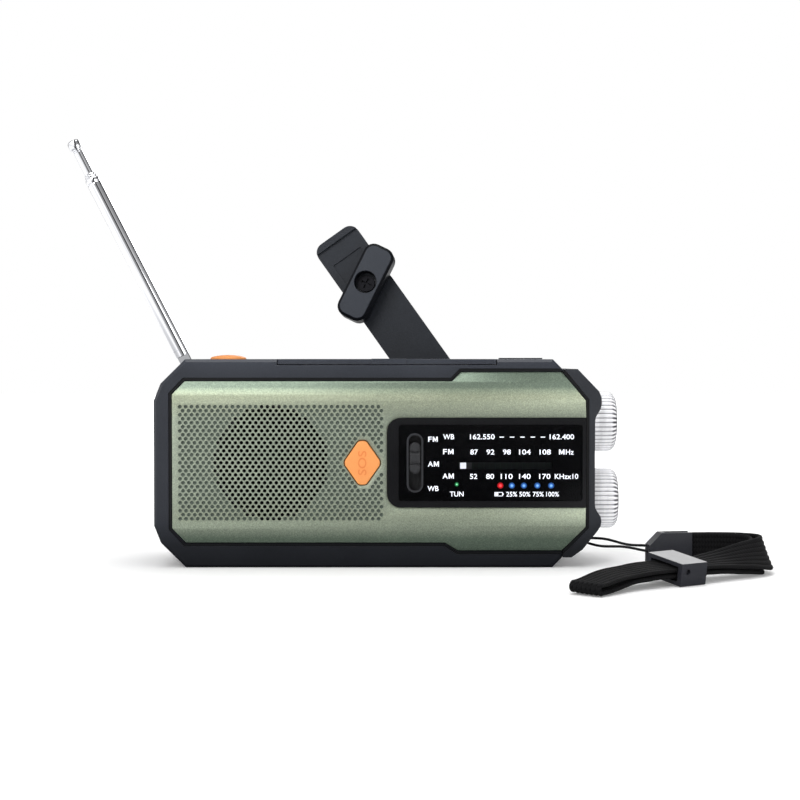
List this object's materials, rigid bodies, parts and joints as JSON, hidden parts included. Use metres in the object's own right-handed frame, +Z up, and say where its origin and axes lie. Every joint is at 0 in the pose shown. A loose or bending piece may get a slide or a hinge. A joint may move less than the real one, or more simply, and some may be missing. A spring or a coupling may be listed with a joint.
{
  "type": "emergency radio",
  "caption": "Portable emergency radio: chamfered case, perforated green front, dial window, side knobs, telescopic aerial, folding hand crank, flip-up solar lid and wrist strap.",
  "frame": {"origin": "on the base plane, under the middle of the case", "axes": "+X to the knob end, +Y to the back where the crank is, +Z up"},
  "size_m": [0.25, 0.1374, 0.1542],
  "materials": {
    "shell_black": "fine moulded texture, satin",
    "bumper_black": "fine moulded texture, satin",
    "panel_green": "metallic sage green paint with a fine speckle, satin",
    "bezel_black": "glossy black",
    "window": "clear with a dark tint, glossy",
    "white": "white",
    "switch_dark": "moulded",
    "led_red": "tinted lens",
    "led_blue": "tinted lens",
    "led_green": "tinted lens",
    "orange": "soft orange moulding",
    "knob_clear": "bright plated with fine ribs",
    "steel": "bright",
    "control_body": "moulded",
    "solar_cells": "dark blue cells under clear resin",
    "antenna_chrome": "polished",
    "gear_nylon": "natural nylon",
    "grip_black": "satin",
    "motor_steel": "plain",
    "speaker_paper": "matt",
    "magnet": "ferrite",
    "pcb_green": "solder mask",
    "cell_wrap": "shrink sleeve",
    "copper_wire": "enamelled wire",
    "reflector": "vacuum plated",
    "torch_led": "phosphor",
    "clear_lens": "clear",
    "flap_rubber": "matt",
    "cord": "braided",
    "webbing": "ribbed tubular webbing",
    "buckle": "satin"
  },
  "bodies": {
    "chassis": {"front_housing": "shell_black", "rear_housing": "shell_black", "side_cap": "bumper_black", "front_panel": "panel_green", "window_bezel": "bezel_black", "dial_plate": "bezel_black", "dial_window": "window", "board_switches": "switch_dark", "led_red": "led_red", "led_blue": "led_blue", "led_green": "led_green", "tuning_capacitor": "control_body", "volume_potentiometer": "control_body", "lid_hinge_pin": "steel", "generator_body": "motor_steel", "gearbox_plate": "motor_steel", "speaker_basket": "motor_steel", "speaker_cone": "speaker_paper", "speaker_magnet": "magnet", "main_pcb": "pcb_green", "battery_cell": "cell_wrap", "battery_cover": "shell_black", "ferrite_rod": "magnet", "ferrite_coil": "copper_wire", "torch_reflector": "reflector", "torch_led": "torch_led", "torch_lens": "clear_lens", "usb_ports": "steel", "housing_screws": "steel"},
    "lid": {"solar_lid": "shell_black", "solar_panel": "solar_cells", "lamp_diffuser": "white"},
    "lamp_button": {"lamp_button": "orange"},
    "sos_button": {"sos_button": "orange"},
    "band_switch": {"band_switch": "bezel_black"},
    "tuning_control": {"tuning_knob": "knob_clear", "tuning_shaft": "steel"},
    "volume_control": {"volume_knob": "knob_clear", "volume_shaft": "steel"},
    "pointer": {"tuning_pointer": "white"},
    "antenna_swivel_post": {"antenna_base": "antenna_chrome", "antenna_rivet": "steel"},
    "antenna_mast": {"antenna_foot": "antenna_chrome", "antenna_section_1": "antenna_chrome"},
    "antenna_mast_2": {"antenna_section_2": "antenna_chrome"},
    "antenna_mast_3": {"antenna_section_3": "antenna_chrome"},
    "antenna_mast_4": {"antenna_section_4": "antenna_chrome"},
    "crank_shaft": {"crank_hub": "shell_black", "drive_gear": "gear_nylon", "crank_hinge_pin": "steel"},
    "crank_lever": {"crank_arm": "shell_black", "grip_screw": "steel"},
    "crank_handle": {"crank_grip": "grip_black"},
    "idler": {"idler_gear": "gear_nylon"},
    "generator_rotor": {"generator_pinion": "gear_nylon"},
    "port_flap": {"usb_flap": "flap_rubber"},
    "wrist_strap": {"strap_cord": "cord", "strap_webbing": "webbing", "strap_plate": "buckle"},
    "strap_lock": {"strap_slider": "buckle"}
  },
  "joints": [
    {"name": "lid_hinge", "type": "hinge", "parent": "chassis", "child": "lid", "pos_m": [0, 0.009, 0.0709], "axis": [-1, 0, 0], "range_deg": [0, 95]},
    {"name": "lamp_button_press", "type": "slide", "parent": "chassis", "child": "lamp_button", "axis": [0, 0, -1], "range_m": [0, 0.001]},
    {"name": "sos_button_press", "type": "slide", "parent": "chassis", "child": "sos_button", "axis": [0, 1, 0], "range_m": [0, 0.001]},
    {"name": "band_switch_slide", "type": "slide", "parent": "chassis", "child": "band_switch", "axis": [0, 0, 1], "range_m": [-0.0056, 0.0021]},
    {"name": "tuning_knob_turn", "type": "hinge", "parent": "chassis", "child": "tuning_control", "pos_m": [0.07, 0, 0.05], "axis": [1, 0, 0], "range_deg": [0, 300]},
    {"name": "pointer_slide", "type": "slide", "parent": "chassis", "child": "pointer", "axis": [1, 0, 0], "range_m": [0, 0.0297]},
    {"name": "volume_knob_turn", "type": "hinge", "parent": "chassis", "child": "volume_control", "pos_m": [0.07, 0, 0.0223], "axis": [1, 0, 0], "range_deg": [0, 290]},
    {"name": "antenna_swivel", "type": "hinge", "parent": "chassis", "child": "antenna_swivel_post", "pos_m": [-0.07, 0.0161, 0.065], "axis": [0, 0, 1], "range_deg": [-180, 180]},
    {"name": "antenna_tilt", "type": "hinge", "parent": "antenna_swivel_post", "child": "antenna_mast", "pos_m": [-0.07, 0.0161, 0.07], "axis": [0, 1, 0], "range_deg": [-55, 117.1]},
    {"name": "antenna_extend_2", "type": "slide", "parent": "antenna_mast", "child": "antenna_mast_2", "axis": [-0.4555, 0, 0.8902], "range_m": [0, 0.06]},
    {"name": "antenna_extend_3", "type": "slide", "parent": "antenna_mast_2", "child": "antenna_mast_3", "axis": [-0.4555, 0, 0.8902], "range_m": [0, 0.06]},
    {"name": "antenna_extend_4", "type": "slide", "parent": "antenna_mast_3", "child": "antenna_mast_4", "axis": [-0.4555, 0, 0.8902], "range_m": [0, 0.06]},
    {"name": "crank_spin", "type": "hinge", "parent": "chassis", "child": "crank_shaft", "pos_m": [0.0351, 0.029, 0.0459], "axis": [0, 1, 0], "continuous": true},
    {"name": "crank_fold", "type": "hinge", "parent": "crank_shaft", "child": "crank_lever", "pos_m": [0.0351, 0.029, 0.0459], "axis": [-0.8161, 0, -0.5779], "range_deg": [-8, 164]},
    {"name": "grip_spin", "type": "hinge", "parent": "crank_lever", "child": "crank_handle", "pos_m": [-0.00341, 0.03837, 0.10029], "axis": [-0.0804, -0.9903, 0.1136], "continuous": true},
    {"name": "idler_spin", "type": "hinge", "parent": "chassis", "child": "idler", "pos_m": [0.01402, 0.013, 0.0459], "axis": [0, 1, 0], "continuous": true},
    {"name": "generator_spin", "type": "hinge", "parent": "chassis", "child": "generator_rotor", "pos_m": [0.00096, 0.013, 0.03836], "axis": [0, 1, 0], "continuous": true},
    {"name": "port_flap_hinge", "type": "hinge", "parent": "chassis", "child": "port_flap", "pos_m": [0.046, 0.0234, 0.0083], "axis": [-1, 0, 0], "range_deg": [0, 110]},
    {"name": "strap_swing", "type": "hinge", "parent": "chassis", "child": "wrist_strap", "pos_m": [0.0704, -0.006, 0.0086], "axis": [0, 0, 1], "range_deg": [-12, 35]},
    {"name": "strap_slider_slide", "type": "slide", "parent": "wrist_strap", "child": "strap_lock", "axis": [0.8351, 0.5501, 0], "range_m": [-0.006, 0.004]}
  ],
  "couplings": [
    {"joint": "pointer_slide", "follows": "tuning_knob_turn", "m_per_rad": 0.0056532},
    {"joint": "idler_spin", "follows": "crank_spin", "ratio": -4},
    {"joint": "generator_spin", "follows": "crank_spin", "ratio": 16}
  ]
}
